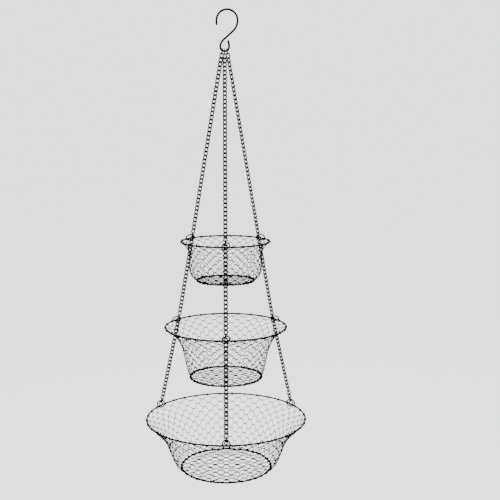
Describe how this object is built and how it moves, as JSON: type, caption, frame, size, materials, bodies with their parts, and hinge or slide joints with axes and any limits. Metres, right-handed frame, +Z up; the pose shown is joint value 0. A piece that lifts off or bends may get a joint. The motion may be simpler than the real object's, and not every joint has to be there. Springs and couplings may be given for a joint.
{
  "type": "three-tier hanging wire produce basket",
  "caption": "Hanging wire produce basket: round netted baskets that widen downwards, hung in tiers on chains from an S-hook.",
  "frame": {"origin": "the seat of the S-hook, the highest point inside its bow, on the load line through the middle of the baskets", "axes": "+Z up along the load line; the front chain hangs at -Y and the other two at the back left and back right; the S-hook is flat in the XZ plane and opens towards -X"},
  "size_m": [0.2804, 0.2829, 0.7895],
  "materials": {
    "hook_wire": "black enamel on bent steel wire, semi-gloss",
    "chain_wire": "black enamel on steel chain, semi-gloss",
    "jump_ring_wire": "black enamel on steel wire, semi-gloss",
    "hoop_wire": "black enamel on welded steel wire, semi-gloss",
    "netting_wire": "black enamel on thin twisted steel wire, semi-gloss"
  },
  "bodies": {
    "hook": {"s_hook": "hook_wire"},
    "eye_links": {"front_eye_link": "chain_wire", "left_eye_link": "chain_wire", "right_eye_link": "chain_wire"},
    "upper_tier": {"front_upper_chain": "chain_wire", "front_top_ring_link": "chain_wire", "front_top_ring": "jump_ring_wire", "left_upper_chain": "chain_wire", "left_top_ring_link": "chain_wire", "left_top_ring": "jump_ring_wire", "right_upper_chain": "chain_wire", "right_top_ring_link": "chain_wire", "right_top_ring": "jump_ring_wire"},
    "top_basket": {"top_rim": "hoop_wire", "top_base_ring": "hoop_wire", "top_side_netting": "netting_wire", "top_base_netting": "netting_wire"},
    "middle_tier": {"front_middle_ring_link": "chain_wire", "front_middle_ring": "jump_ring_wire", "left_middle_ring_link": "chain_wire", "left_middle_ring": "jump_ring_wire", "right_middle_ring_link": "chain_wire", "right_middle_ring": "jump_ring_wire"},
    "middle_basket": {"middle_rim": "hoop_wire", "middle_base_ring": "hoop_wire", "middle_side_netting": "netting_wire", "middle_base_netting": "netting_wire"},
    "lower_tier": {"front_bottom_ring_link": "chain_wire", "front_bottom_ring": "jump_ring_wire", "front_tail_link": "chain_wire", "left_bottom_ring_link": "chain_wire", "left_bottom_ring": "jump_ring_wire", "left_tail_link": "chain_wire", "right_bottom_ring_link": "chain_wire", "right_bottom_ring": "jump_ring_wire", "right_tail_link": "chain_wire"},
    "bottom_basket": {"bottom_rim": "hoop_wire", "bottom_base_ring": "hoop_wire", "bottom_side_netting": "netting_wire", "bottom_base_netting": "netting_wire"},
    "front_middle_chain_run": {"front_middle_chain": "chain_wire"},
    "front_lower_chain_run": {"front_lower_chain": "chain_wire"},
    "left_middle_chain_run": {"left_middle_chain": "chain_wire"},
    "left_lower_chain_run": {"left_lower_chain": "chain_wire"},
    "right_middle_chain_run": {"right_middle_chain": "chain_wire"},
    "right_lower_chain_run": {"right_lower_chain": "chain_wire"}
  },
  "joints": [
    {"name": "hang_swing", "type": "hinge", "parent": "hook", "child": "eye_links", "pos_m": [0, 0, -0.05808], "axis": [0, 1, 0], "range_deg": [-15, 15]},
    {"name": "hang_rock", "type": "hinge", "parent": "eye_links", "child": "upper_tier", "pos_m": [0, 0.00003, -0.06889], "axis": [1, 0, 0], "range_deg": [-8, 8]},
    {"name": "top_basket_turn", "type": "hinge", "parent": "upper_tier", "child": "top_basket", "pos_m": [0, 0, -0.3834], "axis": [0, 0, 1], "range_deg": [-1, 1]},
    {"name": "middle_basket_turn", "type": "hinge", "parent": "middle_tier", "child": "middle_basket", "pos_m": [0, 0, -0.5323], "axis": [0, 0, 1], "range_deg": [-1, 1]},
    {"name": "bottom_basket_turn", "type": "hinge", "parent": "lower_tier", "child": "bottom_basket", "pos_m": [0, 0, -0.69617], "axis": [0, 0, 1], "range_deg": [-1, 1]},
    {"name": "middle_sway", "type": "hinge", "parent": "upper_tier", "child": "front_middle_chain_run", "pos_m": [0, -0.06926, -0.37964], "axis": [1, 0, 0], "range_deg": [-5, 5]},
    {"name": "middle_level", "type": "hinge", "parent": "front_middle_chain_run", "child": "middle_tier", "pos_m": [0, -0.09684, -0.52387], "axis": [1, 0, 0], "range_deg": [-3.73, 3.73]},
    {"name": "left_middle_sway", "type": "hinge", "parent": "upper_tier", "child": "left_middle_chain_run", "pos_m": [-0.0578, 0.03817, -0.37915], "axis": [1, 0, 0], "range_deg": [-5.1, 5.1]},
    {"name": "right_middle_sway", "type": "hinge", "parent": "upper_tier", "child": "right_middle_chain_run", "pos_m": [0.0578, 0.03817, -0.37915], "axis": [1, 0, 0], "range_deg": [-5.1, 5.1]},
    {"name": "lower_sway", "type": "hinge", "parent": "middle_tier", "child": "front_lower_chain_run", "pos_m": [0, -0.09789, -0.52871], "axis": [1, 0, 0], "range_deg": [-5, 5]},
    {"name": "lower_level", "type": "hinge", "parent": "front_lower_chain_run", "child": "lower_tier", "pos_m": [0, -0.13601, -0.68477], "axis": [1, 0, 0], "range_deg": [-3.69, 3.69]},
    {"name": "left_lower_sway", "type": "hinge", "parent": "middle_tier", "child": "left_lower_chain_run", "pos_m": [-0.08392, 0.0504, -0.52818], "axis": [1, 0, 0], "range_deg": [-5.1, 5.1]},
    {"name": "right_lower_sway", "type": "hinge", "parent": "middle_tier", "child": "right_lower_chain_run", "pos_m": [0.08392, 0.0504, -0.52818], "axis": [1, 0, 0], "range_deg": [-5.1, 5.1]}
  ],
  "couplings": [
    {"joint": "middle_level", "follows": "middle_sway", "ratio": -0.7321},
    {"joint": "left_middle_sway", "follows": "middle_sway", "ratio": 1},
    {"joint": "right_middle_sway", "follows": "middle_sway", "ratio": 1},
    {"joint": "lower_level", "follows": "lower_sway", "ratio": -0.72316},
    {"joint": "left_lower_sway", "follows": "lower_sway", "ratio": 1},
    {"joint": "right_lower_sway", "follows": "lower_sway", "ratio": 1}
  ]
}
